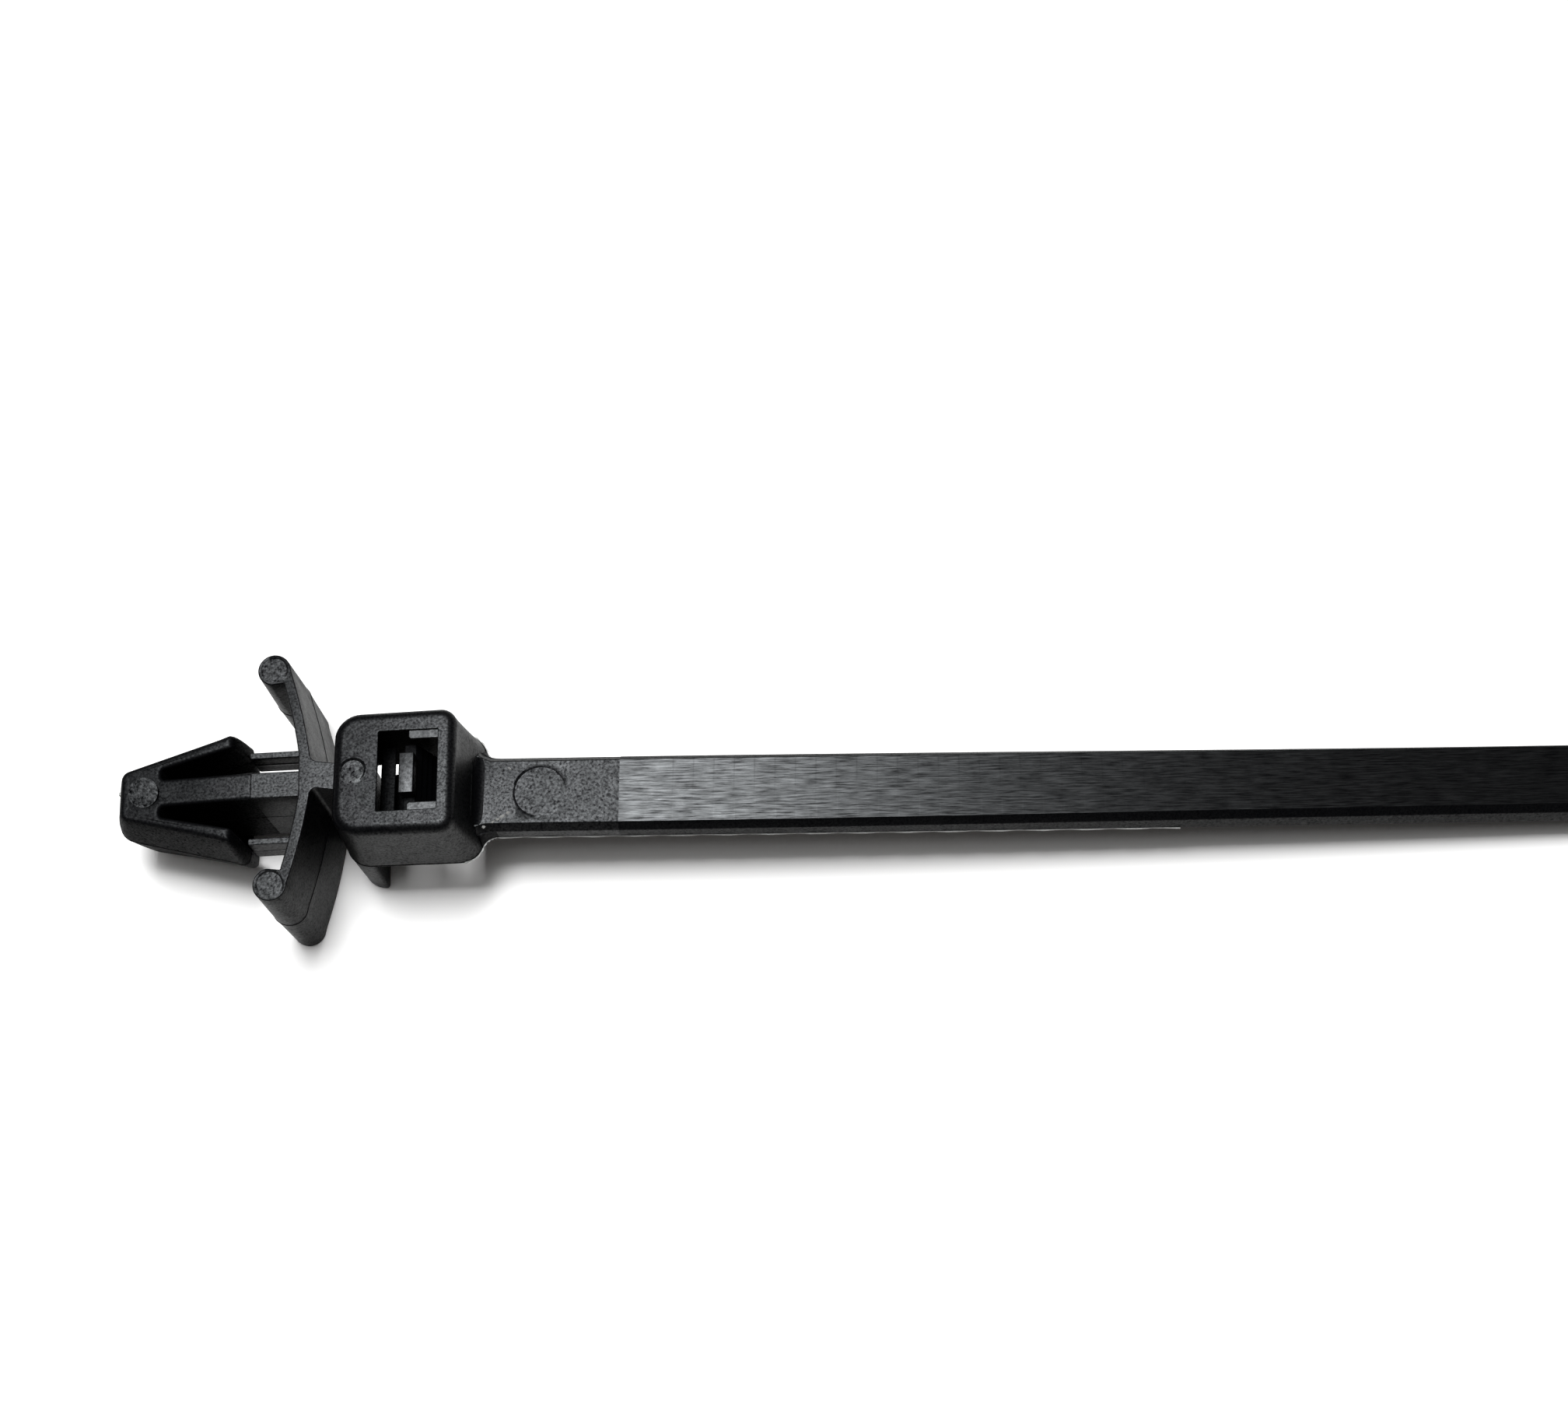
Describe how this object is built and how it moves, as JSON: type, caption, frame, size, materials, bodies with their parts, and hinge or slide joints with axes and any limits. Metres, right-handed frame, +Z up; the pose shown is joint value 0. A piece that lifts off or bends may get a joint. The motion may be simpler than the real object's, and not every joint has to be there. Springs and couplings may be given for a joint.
{
  "type": "push mount cable tie",
  "caption": "One-piece push mount cable tie: arrowhead with barbs, spring wings, ratchet head with window and pawl, and a long strap toothed underneath.",
  "frame": {"origin": "centre of the bounding box in plan, at the level of the surface it lies on", "axes": "+X from the arrowhead's nose towards the strap's tail, +Z up out of the head's flat top, +Y across the strap"},
  "size_m": [0.2, 0.0176, 0.0099],
  "materials": {
    "nylon": "satin black, brushed along the strap's face"
  },
  "bodies": {
    "root": {"cable_tie": "nylon"}
  },
  "joints": []
}
